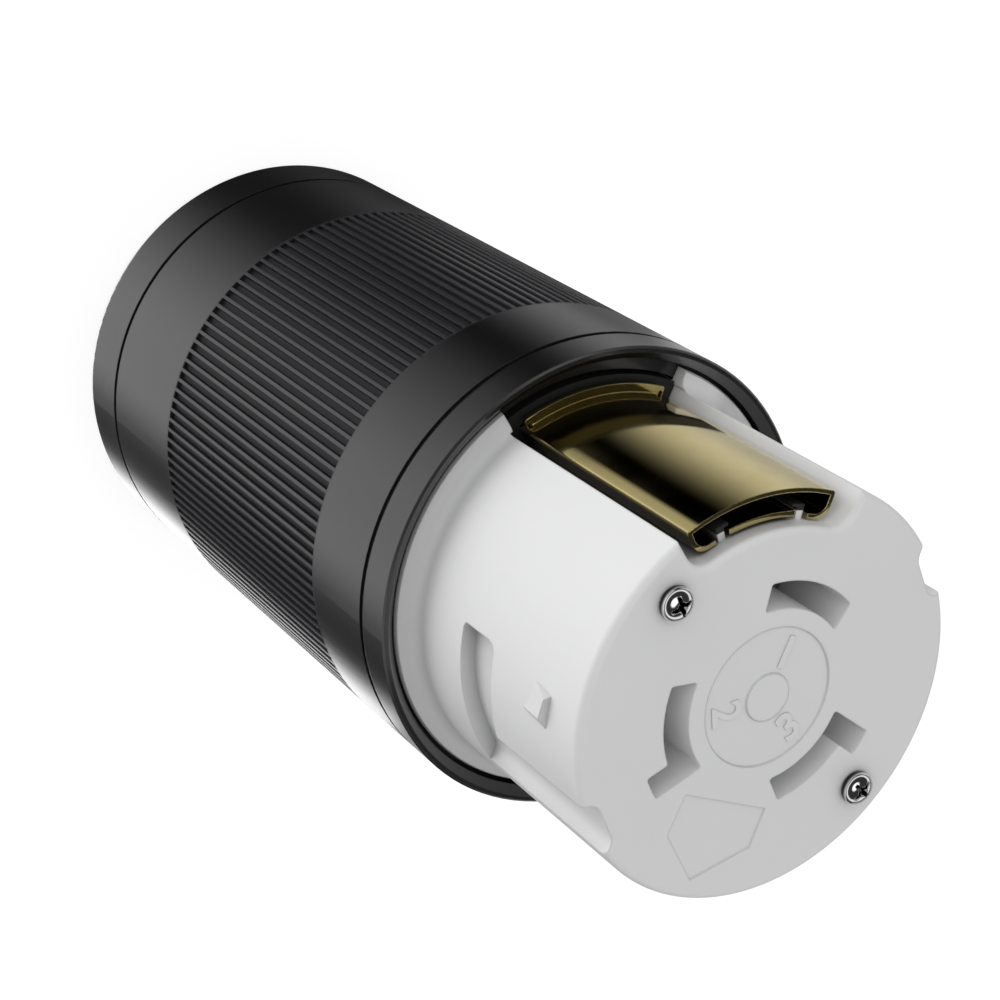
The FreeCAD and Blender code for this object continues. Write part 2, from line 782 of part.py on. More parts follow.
# Earth contact
def wrapped_section(inset, start_z, end_z):
    radius_out = plate_outer_radius - inset
    radius_in = plate_bottom_radius + inset
    half = plate_half_angle - math.degrees(inset / ((plate_outer_radius + plate_bottom_radius) / 2))
    solid = sector(radius_in, radius_out, recess_angle - half, recess_angle + half, start_z, end_z)
    middle = (plate_outer_radius + plate_bottom_radius) / 2
    solid = solid.makeFillet(wrap_corner - 0.6 * inset, upright_edges(solid, lambda r, p: r < middle))
    if inset == 0.0:
        solid = solid.makeFillet(outer_corner, upright_edges(solid, lambda r, p: r > radius_out - 0.05))
    return solid


def make_ground_contact():
    box = wrapped_section(0.0, ground_rear_z, ground_front_z)
    hollow = wrapped_section(sheet_thickness, ground_rear_z - 1, ground_front_z + 1)
    open_side = sector(
        plate_bottom_radius - 1,
        plate_bottom_radius + sheet_thickness + 0.5,
        recess_angle - lip_end_half_angle,
        recess_angle + lip_end_half_angle,
        ground_rear_z - 1,
        ground_front_z + 1,
    )
    contact = box.cut(hollow).cut(open_side)
    upstand = sector(
        plate_outer_radius - sheet_thickness,
        upstand_radius,
        recess_angle - upstand_half_angle,
        recess_angle + upstand_half_angle,
        upstand_start_z,
        upstand_end_z,
    )
    corners = upright_edges(upstand, lambda r, p: r > upstand_radius - 0.05)
    upstand = upstand.makeFillet(upstand_corner, corners)
    contact = contact.fuse(upstand)
    for side in (-1, 1):
        centre = polar(plate_outer_radius + relief_hole_lift, recess_angle + side * relief_hole_angle)
        start_z = upstand_start_z - relief_hole_radius
        end_z = upstand_end_z + relief_hole_radius
        hole = cylinder(relief_hole_radius, start_z, end_z, centre.x, centre.y)
        contact = contact.cut(hole)
    for side in (-1, 1):
        ends = sorted((recess_angle + side * tail_half_angles[0], recess_angle + side * tail_half_angles[1]))
        tail = sector(tail_inner_radius, tail_outer_radius, ends[0], ends[1], tail_start_z, ground_rear_z + 2)
        contact = contact.fuse(tail)
    return contact.removeSplitter()


def make_ground_strap():
    wide = sector(
        strap_inner_radius,
        strap_outer_radius,
        recess_angle - strap_half_angle,
        recess_angle + strap_half_angle,
        strap_narrow_z,
        ground_front_z,
    )
    tail = sector(
        strap_inner_radius,
        strap_outer_radius,
        ground_terminal_angle - strap_tail_half_angle,
        ground_terminal_angle + strap_tail_half_angle,
        tab_start_z,
        strap_narrow_z + 1,
    )
    return wide.fuse(tail).removeSplitter()


# Long screws through the white body, with the inserts they enter
def make_face_screw(angle):
    rise = face_screw_head_height - face_screw_edge_height
    shoulder = overall_length + face_screw_edge_height
    top = overall_length + face_screw_head_height
    steps = [
        (0.0, face_screw_start_z),
        (face_screw_radius - 0.3, face_screw_start_z),
        (face_screw_radius, face_screw_start_z + 0.5),
        (face_screw_radius, overall_length),
        (face_screw_foot_radius, overall_length),
        (face_screw_head_radius, shoulder),
        (face_screw_head_radius * 0.72, shoulder + rise * 0.66, 0.0, top),
    ]
    screw = revolved(steps)
    for turn in (0.0, 90.0):
        arm = block(-cross_length / 2, cross_length / 2, cross_width / 2, top - cross_depth, top + 1)
        screw = screw.cut(turned(arm, turn))
    centre = polar(face_screw_pitch_radius, angle)
    screw.translate(FreeCAD.Vector(centre.x, centre.y, 0))
    return screw


def make_barrel_insert(angle):
    centre = polar(face_screw_pitch_radius, angle)
    start_z = ledge_z - barrel_insert_length
    body = cylinder(barrel_insert_radius, start_z, ledge_z, centre.x, centre.y)
    return body.cut(cylinder(barrel_insert_bore, start_z - 1, ledge_z + 1, centre.x, centre.y))


# Cord clamp jaws, their screws and inserts, and the cord seal
def make_clamp_jaw(side):
    slope = (jaw_seat_front_radius - jaw_seat_rear_radius) / end_wall_rear_z
    rear_radius = jaw_seat_rear_radius + slope * jaw_rear_z - jaw_clearance
    front_radius = jaw_seat_rear_radius + slope * jaw_front_z - jaw_clearance
    pitch = (jaw_front_z - jaw_rear_z) / jaw_tooth_count
    steps = [(rear_radius, jaw_rear_z), (front_radius, jaw_front_z), (jaw_bore_radius, jaw_front_z)]
    for index in range(jaw_tooth_count):
        root = jaw_front_z - index * pitch
        steps.append((jaw_tooth_radius, root - pitch / 2))
        steps.append((jaw_bore_radius, root - pitch))
    start = (0.0 if side > 0 else half_turn) - jaw_half_angle
    jaw = revolved(steps, 2 * jaw_half_angle, start)
    x = side * clamp_screw_x
    head_seat_z = clamp_head_top_z + clamp_head_height
    jaw = jaw.cut(cylinder(clamp_counterbore_radius, jaw_rear_z - 1, head_seat_z, x, 0))
    return jaw.cut(cylinder(clamp_hole_radius, jaw_rear_z - 1, jaw_front_z + 1, x, 0))


def make_clamp_screw(side):
    x = side * clamp_screw_x
    head_seat_z = clamp_head_top_z + clamp_head_height
    screw = cylinder(clamp_head_radius, clamp_head_top_z, head_seat_z, x, 0)
    screw = screw.fuse(cylinder(clamp_screw_radius, head_seat_z, clamp_screw_end_z, x, 0))
    slot = Part.makeBox(
        2 * clamp_head_radius + 2,
        driver_slot_width,
        driver_slot_depth + 1,
        FreeCAD.Vector(x - clamp_head_radius - 1, -driver_slot_width / 2, clamp_head_top_z - 1),
    )
    return screw.cut(slot).removeSplitter()


def make_clamp_insert(side):
    x = side * clamp_screw_x
    body = cylinder(clamp_insert_radius, end_wall_rear_z, end_wall_front_z, x, 0)
    return body.cut(cylinder(clamp_insert_bore, end_wall_rear_z - 1, end_wall_front_z + 1, x, 0))


def make_cord_seal():
    flange_z = end_wall_front_z + seal_flange_thickness
    steps = [
        (seal_bore_radius, seal_start_z),
        (seal_body_radius, seal_start_z),
        (seal_body_radius, end_wall_front_z),
        (seal_flange_radius, end_wall_front_z),
        (seal_flange_radius, flange_z),
        (seal_bore_radius, flange_z),
    ]
    return revolved(steps)


# Every piece goes to its own file
os.makedirs("parts", exist_ok=True)

export("housing", make_housing())
export("front_body", make_front_body())
export("contact_carrier", make_contact_carrier())
export("wire_guide", make_wire_guide())

pole_names = ("line_x", "line_y", "neutral")
for pole, angle, lug_angle in zip(pole_names, pole_angles, terminal_angles()):
    export(pole + "_contact", make_socket_contact(angle))
    export(pole + "_contact_clip", make_contact_clip(angle))
    lug = make_terminal(lug_angle, line_terminal_inner, line_terminal_outer, line_window_outer)
    export(pole + "_terminal", lug)
    export(pole + "_pressure_plate", make_pressure_plate(lug_angle))

screw_tip = plate_inner + plate_thickness
line_screws = [make_terminal_screw(angle, screw_tip) for angle in terminal_angles()[:2]]
export("line_terminal_screws", Part.makeCompound(line_screws))
export("neutral_terminal_screw", make_terminal_screw(terminal_angles()[2], screw_tip))
export("ground_terminal_screw", make_terminal_screw(ground_terminal_angle, strap_outer_radius))
ground_lug = make_terminal(
    ground_terminal_angle, ground_terminal_inner, ground_terminal_outer, ground_window_outer
)
export("ground_terminal", ground_lug)
export("ground_contact", make_ground_contact())
export("ground_strap", make_ground_strap())

export("face_screws", Part.makeCompound([make_face_screw(angle) for angle in face_screw_angles]))
export("barrel_inserts", Part.makeCompound([make_barrel_insert(angle) for angle in face_screw_angles]))

export("cord_clamp_left", make_clamp_jaw(-1))
export("cord_clamp_right", make_clamp_jaw(1))
export("cord_clamp_screws", Part.makeCompound([make_clamp_screw(side) for side in (-1, 1)]))
export("cord_clamp_inserts", Part.makeCompound([make_clamp_insert(side) for side in (-1, 1)]))
export("cord_seal", make_cord_seal())
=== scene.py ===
# %% [markdown]
# # Dressing a locking power connector
# The solids of the connector come from CAD as one frame of named nodes, in metres, standing on its
# rear rim with +Z towards the mating face. This lesson gives each node the finish that the real
# piece has, and adds the few shapes that are finer than the CAD: the two screws with their cross
# recess and thread, and the small raised numbers on the face. Nothing of the frame is moved.

# %% Load the frame
import math

import bpy
import numpy as np
from mathutils import Matrix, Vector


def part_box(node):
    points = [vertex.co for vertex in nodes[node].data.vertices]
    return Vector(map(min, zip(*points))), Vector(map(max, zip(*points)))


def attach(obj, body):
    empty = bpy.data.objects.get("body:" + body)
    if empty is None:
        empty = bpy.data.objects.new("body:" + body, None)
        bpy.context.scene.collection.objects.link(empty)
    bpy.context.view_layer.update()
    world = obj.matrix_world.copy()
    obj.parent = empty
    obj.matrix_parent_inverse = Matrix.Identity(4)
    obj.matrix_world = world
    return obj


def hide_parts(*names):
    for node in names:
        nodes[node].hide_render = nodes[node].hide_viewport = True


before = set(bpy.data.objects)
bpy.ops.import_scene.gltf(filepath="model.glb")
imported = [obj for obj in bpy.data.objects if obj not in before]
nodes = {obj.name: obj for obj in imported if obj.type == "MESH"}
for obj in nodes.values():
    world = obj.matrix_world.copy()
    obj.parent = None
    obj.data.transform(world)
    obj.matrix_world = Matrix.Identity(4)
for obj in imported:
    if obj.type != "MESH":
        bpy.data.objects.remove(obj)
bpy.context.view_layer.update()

# %% [markdown]
# ## Sizes read from the frame
# Everything added later must sit on the CAD, so the height of the face and the places of the screws
# are worked out from the boxes of the nodes. What a box can't tell, such as the angles of the
# slots, is a named value where it is needed. The two screws are half a turn apart, so the box of
# their node gives both centres: its highest x and lowest y are one head radius outside the first.

# %% Places on the mating face
MM = 0.001
FACE_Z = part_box("front_body")[1].z
HEAD_RADIUS = 2.35 * MM
screw_low, screw_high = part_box("face_screws")
SCREW_CENTRES = [
    (screw_high.x - HEAD_RADIUS, screw_low.y + HEAD_RADIUS),
    (screw_low.x + HEAD_RADIUS, screw_high.y - HEAD_RADIUS),
]
centres_mm = [[round(c / MM, 2) for c in centre] for centre in SCREW_CENTRES]
print("face at", round(FACE_Z / MM, 2), "mm, screws at", centres_mm)

# %% [markdown]
# ## A small language for materials
# A shader is a graph of nodes, and drawing it in code is wordy. `Wire` wraps one output socket and
# overloads the arithmetic operators, so `0.4 + 0.1 * grain` adds the Math nodes by itself.
# `Finish` owns one node tree: its `node` method makes any other node from a type, its settings,
# which come first, and the values or links of its inputs.


# %% Wires
class Wire:
    """One output socket. Sums, differences and products with it become Math nodes."""

    def __init__(self, finish, socket):
        self.finish = finish
        self.socket = socket

    def math(self, operation, first, second):
        return self.finish.node("ShaderNodeMath", {"operation": operation}, {0: first, 1: second})[0]

    def __add__(self, other):
        return self.math("ADD", self, other)

    def __sub__(self, other):
        return self.math("SUBTRACT", self, other)

    def __rsub__(self, other):
        return self.math("SUBTRACT", other, self)

    def __mul__(self, other):
        return self.math("MULTIPLY", self, other)

    __radd__ = __add__
    __rmul__ = __mul__


class Outputs:
    """The outputs of a node that was just made, read by number or by name, as wires."""

    def __init__(self, finish, node):
        self.finish = finish
        self.node = node

    def __getitem__(self, key):
        return Wire(self.finish, self.node.outputs[key])


def rgba(value):
    """A grey level, or red, green and blue, as the four numbers of a colour socket."""
    rgb = (value,) * 3 if isinstance(value, (int, float)) else tuple(value)
    return (*rgb, 1.0)


# %% Finishes
class Finish:
    """One node tree, of a material or of the world, and the helpers that add and join its nodes."""

    def __init__(self, tree):
        self.tree = tree
        tree.nodes.clear()

    def node(self, kind, settings=None, inputs=None):
        """Adds one node. The settings stops and interpolation are those of a colour ramp."""
        node = self.tree.nodes.new(kind)
        for name, value in (settings or {}).items():
            if name == "stops":
                self.set_stops(node.color_ramp, value)
            elif name == "interpolation":
                node.color_ramp.interpolation = value
            else:
                setattr(node, name, value)
        for key, value in (inputs or {}).items():
            self.feed(node.inputs[key], value)
        return Outputs(self, node)

    def set_stops(self, ramp, stops):
        while len(ramp.elements) < len(stops):
            ramp.elements.new(1.0)
        for element, (place, colour) in zip(ramp.elements, stops):
            element.position = place
            element.color = rgba(colour)

    def feed(self, socket, value):
        if isinstance(value, Wire):
            self.tree.links.new(value.socket, socket)
        elif socket.type == "RGBA":
            socket.default_value = rgba(value)
        else:
            socket.default_value = value

    def place(self):
        """Where a point lies, in the frame of the whole object."""
        return self.node("ShaderNodeTexCoord")["Object"]

    def height(self, vector=None):
        """Distance above the rear rim, or the upward part of a direction."""
        return self.node("ShaderNodeSeparateXYZ", None, {"Vector": vector or self.place()})["Z"]

    def vector(self, operation, first, second):
        return self.node("ShaderNodeVectorMath", {"operation": operation}, {0: first, 1: second})

    def from_axis(self, centre=(0.0, 0.0)):
        """Distance from the axis of the connector, or from one beside it through centre."""
        flat = self.vector("MULTIPLY", self.place(), (1.0, 1.0, 0.0))[0]
        return self.vector("DISTANCE", flat, (*centre, 0.0))["Value"]

    def turn(self, vector=None):
        """Angle round the axis as a share of a turn: 0 and 1 at -X, 0.5 at +X."""
        inputs = {"Vector": vector or self.place()}
        return self.node("ShaderNodeTexGradient", {"gradient_type": "RADIAL"}, inputs)["Fac"]

    def from_angle(self, middle):
        """How far a point is from that angle round the axis, as a share of a turn."""
        return self.node("ShaderNodeMath", {"operation": "ABSOLUTE"}, {0: self.turn() - middle})[0]

    def stretched(self, *scale):
        """Object coordinates, multiplied along each axis, for a grain that runs one way."""
        return self.node("ShaderNodeMapping", None, {"Vector": self.place(), "Scale": scale})[0]

    def noise(self, scale, detail=2.0, roughness=0.5, vector=None):
        inputs = {"Vector": vector or self.place(), "Scale": scale, "Detail": detail, "Roughness": roughness}
        return self.node("ShaderNodeTexNoise", None, inputs)[0]

    def ramp(self, factor, stops, interpolation="LINEAR"):
        """A colour for each value of factor, which goes straight or softly from stop to stop."""
        settings = {"stops": stops, "interpolation": interpolation}
        return self.node("ShaderNodeValToRGB", settings, {"Fac": factor})["Color"]

    def spread(self, value, low, high, to_low=0.0, to_high=1.0):
        """Maps value from low..high to to_low..to_high, held at both ends."""
        inputs = {"Value": value, "From Min": low, "From Max": high, "To Min": to_low, "To Max": to_high}
        return self.node("ShaderNodeMapRange", None, inputs)[0]

    def fade(self, value, low, high):
        """1 up to low, 0 from high on."""
        return self.spread(value, low, high, 1.0, 0.0)

    def mix(self, factor, first, second, blend="MIX"):
        """A colour between first and second, or the two joined in another way."""
        settings = {"data_type": "RGBA", "blend_type": blend}
        return self.node("ShaderNodeMix", settings, {0: factor, 6: first, 7: second})[2]

    def bump(self, height, distance, strength=1.0, normal=None):
        inputs = {"Height": height, "Distance": distance, "Strength": strength}
        if normal is not None:
            inputs["Normal"] = normal
        return self.node("ShaderNodeBump", None, inputs)[0]

    def soft_edges(self, radius):
        """The surface's normal as if its sharp edges were rounded by that radius."""
        return self.node("ShaderNodeBevel", {"samples": 6}, {"Radius": radius})[0]

    def surface(self, base, roughness, normal, **constants):
        """Ends a material with one Principled shader. Words in constants name its other sockets."""
        inputs = {"Base Color": base, "Roughness": roughness, "Normal": normal}
        inputs.update({name.replace("_", " "): value for name, value in constants.items()})
        shader = self.node("ShaderNodeBsdfPrincipled", None, inputs)
        self.node("ShaderNodeOutputMaterial", None, {"Surface": shader["BSDF"]})


def new_finish(name):
    """An empty material and the Finish that fills it."""
    material = bpy.data.materials.new(name)
    material.use_nodes = True
    return material, Finish(material.node_tree)


def dress(material, *names):
    """Gives a material to CAD nodes."""
    for name in names:
        slots = nodes[name].data.materials
        slots.clear()
        slots.append(material)
    print(material.name, "on", ", ".join(names))


# %% [markdown]
# ## Black barrel
# The barrel is moulded in black glass-filled nylon: almost black, satin, with a smooth skin that
# gives broad reflections and a faint orange-peel grain. One layer of roughness looks like chalk or
# like lacquer, so there are two: a rough base, and a thin clearer coat for the moulded skin. The
# ribbed grip reads slightly bluish and is duller. Its grooves are never polished by a hand, so the
# coat ends below the ribs' tops: the distance from the axis tells a groove from a top. The grooves
# also get a darker colour than the tops, which is painted shade. Handling leaves faint duller
# patches, which only change the roughness.


# %% Barrel plastic
RIB_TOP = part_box("housing")[1].x
RIBS_START = (30.9 * MM, 31.3 * MM)
RIBS_END = (80.7 * MM, 81.1 * MM)
GROOVE_WALL = (RIB_TOP - 0.35 * MM, RIB_TOP - 0.08 * MM)


def barrel_plastic():
    material, finish = new_finish("satin_black_barrel")
    patches = finish.noise(55.0, 4.0, 0.6)
    grain = finish.noise(2600.0, 2.0, 0.6)
    ripple = finish.noise(420.0, 1.0)
    height = finish.height()
    in_ribs = finish.spread(height, *RIBS_START) * finish.fade(height, *RIBS_END)
    in_groove = in_ribs * finish.fade(finish.from_axis(), *GROOVE_WALL)
    # Painted shade: the grooves get a third of the colour of the ribs' tops.
    ribbed = finish.mix(in_groove, (0.0150, 0.0147, 0.0200), (0.0050, 0.0050, 0.0085))
    base = finish.mix(in_ribs, (0.0055, 0.0055, 0.0060), ribbed)
    normal = finish.bump(0.7 * grain + 0.3 * ripple, 0.02 * MM, 0.35, finish.soft_edges(0.24 * MM))
    finish.surface(
        base,
        0.28 + 0.07 * patches + 0.20 * in_ribs + 0.15 * in_groove,
        normal,
        Specular_IOR_Level=0.7,
        Coat_Weight=0.75 - 0.15 * in_ribs - 0.6 * in_groove,
        Coat_Roughness=0.11,
        Coat_IOR=1.5,
    )
    return material


dress(barrel_plastic(), "housing")

# %% [markdown]
# ## White mating body
# White nylon, moulded against a finely blasted tool: nearly white with a hint of cold grey, softly
# glossy. The grain is far finer than a millimetre. Large, very weak clouds in the colour keep the
# wide smooth sides from looking computed. The photograph shows soft grey shade in the channels,
# along the collar and round the earth contact, deeper than these lamps give. Part of it is put into
# the colour: an occlusion node, which measures how closed in a point is, greys the outside there,
# and the tops of the hooks under the earth contact are darker still. One wall of the recess is
# bright in the photograph, so it gets only a fifth of that grey. It stands for shade, not for dirt,
# and it stays under any light. The steps of the shallow relief on the face run out softly, which a
# weak bump round each ring gives.


# %% White plastic
FACE_EDGE = (FACE_Z - 0.5 * MM, FACE_Z - 0.4 * MM)
FACE_RINGS = ((3.3 * MM, -1.0), (9.65 * MM, 1.0))
RING_HALF_WIDTH = 0.5 * MM
RING_RISE = 0.16 * MM
OUTSIDE_RADIUS = (21.8 * MM, 22.3 * MM)
SHADE_REACH = 6 * MM
SHADE_STOPS = [(0.02, 0.03), (0.35, 0.45), (0.90, 1.0)]
EARTH_ANGLE = 0.25
LIT_WALL_ANGLE = 0.175
LIT_WALL_REACH = (0.035, 0.05)
LIT_WALL_SHADE = 0.2
HOOK_ANGLES = (0.046, 0.048)
HOOK_TOP = (24.0 * MM, 24.1 * MM)
HOOK_SHADE_END = (26.4 * MM, 26.6 * MM)
FOOT_HEIGHT = 0.2 * MM
FOOT_GREY = (0.38, 0.38, 0.39)


def socket_plastic(name, edge, foot=None):
    """White nylon. edge is how round its edges look, in millimetres. foot, when given, is a height
    from which the colour goes from grey, for shade, to white within FOOT_HEIGHT."""
    material, finish = new_finish(name)
    clouds = finish.noise(38.0, 3.0, 0.55)
    grain = finish.noise(3200.0, 2.0, 0.6)
    unshaded_white = finish.mix(clouds, (0.775, 0.777, 0.782), (0.815, 0.815, 0.815))
    radius = finish.from_axis()
    on_face = finish.spread(finish.height(), *FACE_EDGE)
    outside = finish.spread(radius, *OUTSIDE_RADIUS) * (1.0 - on_face)
    beside_lit_wall = finish.from_angle(LIT_WALL_ANGLE)
    outside = outside * finish.spread(beside_lit_wall, *LIT_WALL_REACH, LIT_WALL_SHADE, 1.0)
    openness = finish.node("ShaderNodeAmbientOcclusion", {"samples": 8}, {"Distance": SHADE_REACH})["AO"]
    between_hooks = finish.fade(finish.from_angle(EARTH_ANGLE), *HOOK_ANGLES)
    on_hooks = between_hooks * finish.spread(radius, *HOOK_TOP) * finish.fade(radius, *HOOK_SHADE_END)
    # Painted shade: the white greys where the occlusion node finds it closed in, and on the hooks' tops.
    shade = (1.0 - outside * (1.0 - openness)) * (1.0 - on_hooks * (1.0 - on_face))
    base = finish.mix(1.0, unshaded_white, finish.ramp(shade, SHADE_STOPS), "MULTIPLY")
    if foot is not None:
        base = finish.mix(finish.spread(finish.height(), foot, foot + FOOT_HEIGHT), FOOT_GREY, base)
    ring_spans = [(ring - RING_HALF_WIDTH, ring + RING_HALF_WIDTH, sign) for ring, sign in FACE_RINGS]
    rings = sum(sign * finish.spread(radius, start, end) for start, end, sign in ring_spans)
    normal = finish.bump(rings * on_face, RING_RISE, 1.0, finish.soft_edges(edge * MM))
    normal = finish.bump(grain, 0.012 * MM, 0.3, normal)
    finish.surface(base, 0.36 + 0.06 * clouds, normal, Specular_IOR_Level=0.45)
    return material


dress(socket_plastic("white_moulded_nylon", 0.4), "front_body")

# %% [markdown]
# ## Inner mouldings and the cord clamp
# The pieces behind the white body and at the rear are plainer black mouldings. They share one
# recipe, with its own depth of black and dullness, and a coarser grain than the barrel's.


# %% Plain black mouldings
def plain_moulding(name, dark, light, dullness, grain_height):
    material, finish = new_finish(name)
    clouds = finish.noise(70.0, 3.0, 0.6)
    grain = finish.noise(1900.0, 3.0, 0.6)
    base = finish.mix(clouds, (dark,) * 3, (light,) * 3)
    normal = finish.bump(grain, grain_height * MM, 0.4, finish.soft_edges(0.12 * MM))
    finish.surface(base, dullness + 0.1 * clouds, normal, Specular_IOR_Level=0.5)
    return material


dress(plain_moulding("black_inner_moulding", 0.009, 0.014, 0.44, 0.02), "contact_carrier", "wire_guide")
dress(plain_moulding("black_clamp_moulding", 0.014, 0.022, 0.48, 0.03), "cord_clamp_left", "cord_clamp_right")
dress(plain_moulding("black_seal_rubber", 0.016, 0.026, 0.66, 0.05), "cord_seal")

# %% [markdown]
# ## Metals
# Stamped brass shows fine rolling lines along the strip and a slow change of colour where it has
# been handled. Plated and spring steel are the same recipe in grey. The lines come from noise on
# coordinates that are stretched across the rolling direction.


# %% Rolled metal
ROLLING_SCALE = (900.0, 900.0, 30.0)
ROLLING_HEIGHT = 0.004 * MM
EARTH_ROLL = (0.3056, 0.3183, 0.34)
FOLD_ANGLES = (0.0665, 0.0678)
FOLD_RADIUS = (26.5 * MM, 26.9 * MM)
FOLD_SHADE = (0.15, 0.13, 0.07)


def rolled_metal(name, dark, light, polish, edge=0.12, roll=None):
    """Sheet metal. roll, when given, names two angles round the axis, as shares of a turn, and a
    height h in millimetres. Between the angles the sheet falls away as the rolled side of a
    stamping does: it stands h * (1 - t^2) high, with t the share of the way. The folded side below
    that roll has a darker colour, for the shade seen there in the photograph."""
    material, finish = new_finish(name)
    clouds = finish.noise(90.0, 4.0, 0.6)
    rolling = finish.noise(1.0, 2.0, 0.5, finish.stretched(*ROLLING_SCALE))
    normal = finish.bump(rolling, ROLLING_HEIGHT, 0.5, finish.soft_edges(edge * MM))
    base = finish.mix(finish.spread(clouds, 0.3, 0.7), dark, light)
    if roll is not None:
        fall = finish.spread(finish.turn(), roll[0], roll[1])
        normal = finish.bump(1.0 - fall * fall, roll[2] * MM, 1.0, normal)
        beside = finish.spread(finish.from_angle(EARTH_ANGLE), *FOLD_ANGLES)
        folded = beside * finish.fade(finish.from_axis(), *FOLD_RADIUS)
        base = finish.mix(folded, base, FOLD_SHADE)
    finish.surface(base, polish + 0.10 * finish.spread(clouds, 0.35, 0.75), normal, Metallic=1.0)
    return material


dress(
    rolled_metal("polished_earth_brass", (0.60, 0.495, 0.21), (0.72, 0.61, 0.29), 0.06, 0.2, EARTH_ROLL),
    "ground_contact",
    "ground_strap",
)
dress(
    rolled_metal("contact_brass_strip", (0.60, 0.42, 0.14), (0.72, 0.54, 0.22), 0.22),
    "line_x_contact",
    "line_y_contact",
    "neutral_contact",
)
dress(
    rolled_metal("drawn_terminal_brass", (0.58, 0.42, 0.16), (0.70, 0.55, 0.25), 0.28),
    "line_x_terminal",
    "line_y_terminal",
    "neutral_terminal",
    "ground_terminal",
    "line_terminal_screws",
)
dress(
    rolled_metal("turned_insert_brass", (0.60, 0.45, 0.17), (0.70, 0.56, 0.26), 0.25),
    "barrel_inserts",
    "cord_clamp_inserts",
)
dress(
    rolled_metal("plated_steel", (0.50, 0.50, 0.49), (0.62, 0.62, 0.62), 0.26),
    "line_x_pressure_plate",
    "line_y_pressure_plate",
    "neutral_pressure_plate",
    "neutral_terminal_screw",
    "cord_clamp_screws",
)
dress(
    rolled_metal("spring_steel", (0.30, 0.31, 0.33), (0.42, 0.43, 0.45), 0.3),
    "line_x_contact_clip",
    "line_y_contact_clip",
    "neutral_contact_clip",
)

# %% [markdown]
# The earth screw carries green paint over steel, as earth terminals do, so that the electrician
# finds it: a plain shader with a glossy skin, whose depth of green varies a little.


# %% Green earth screw
def green_screw_paint():
    material, finish = new_finish("green_screw_paint")
    clouds = finish.noise(400.0, 3.0, 0.6)
    base = finish.mix(clouds, (0.012, 0.11, 0.035), (0.02, 0.17, 0.055))
    normal = finish.bump(clouds, 0.03 * MM, 0.4, finish.soft_edges(0.1 * MM))
    finish.surface(base, 0.30 + 0.1 * clouds, normal)
    return material


dress(green_screw_paint(), "ground_terminal_screw")

# %% [markdown]
# ## The two face screws
# On the real object these are bright pan-head screws with a tapered cross recess. A recess cut
# with straight boxes looks like a toy from close by, so each screw is one surface worked out on a
# grid: the rows run along the profile from the crown to the tip, the columns round the axis. The
# recess is a height taken off the crown, and the thread is a depth taken off the shank's radius.

# %% Sizes of a screw
SCREW = {
    "head": HEAD_RADIUS,
    "crown": 2.0 * MM,
    "edge": 0.8 * MM,
    "shank": 1.4 * MM,
    "length": FACE_Z - screw_low.z,
    "pitch": 0.75 * MM,
    "thread_depth": 0.26 * MM,
    "thread_length": 9.0 * MM,
    "wing_length": 1.55 * MM,
    "wing_half_width": 0.36 * MM,
    "recess_depth": 1.25 * MM,
    "wall": 0.10 * MM,
    "socket_share": 0.35,
    "socket_inner": 0.45 * MM,
    "socket_outer": 0.75 * MM,
}
# Shares of the head's radius and of its edge's height, from the rim down to the face.
HEAD_SIDE = ((1.0, 0.97), (1.0, 0.6), (0.96, 0.25), (0.89, 0.0))
FIRST_SHANK_ROW = -0.2 * MM
THREAD_STOPS_ABOVE_TIP = 0.6 * MM
TIP_HEIGHT = 0.2 * MM
SCREW_TURNS = (18.0, 42.0)
CROWN_ROWS = 46
SHANK_ROWS = 12
THREAD_ROWS = 110
print("screw length under the head:", round(SCREW["length"] / MM, 1), "mm")


# %% Crown, recess and shank as formulas
def smooth_step(value, low, high):
    """0 below low, 1 above high, and 3t^2 - 2t^3 between them, with t the share of the way."""
    share = np.clip((value - low) / (high - low), 0.0, 1.0)
    return share * share * (3.0 - 2.0 * share)


def crown_height(radius, size):
    """A flattened dome: edge + (crown - edge) * sqrt(1 - (radius / head)^2.4)."""
    rise = size["crown"] - size["edge"]
    return size["edge"] + rise * np.sqrt(np.clip(1.0 - (radius / size["head"]) ** 2.4, 0.0, 1.0))


def recess_cut(x, y, size):
    """Depth of the cross recess at (x, y): depth * (1 - t^1.6) within a wing, with t the share of
    the way from the axis to the wing's end, where the wing is two thirds as wide. A shallow round
    socket at the axis joins the wings."""
    along = np.maximum(np.abs(x), np.abs(y))
    across = np.minimum(np.abs(x), np.abs(y))
    share = np.clip(along / size["wing_length"], 0.0, 1.0)
    half = size["wing_half_width"] * (1.0 - share / 3.0)
    inside = 1.0 - smooth_step(across, half - size["wall"], half)
    floor = size["recess_depth"] * (1.0 - share**1.6)
    socket = 1.0 - smooth_step(np.hypot(x, y), size["socket_inner"], size["socket_outer"])
    return np.maximum(inside * floor, size["socket_share"] * size["recess_depth"] * socket)


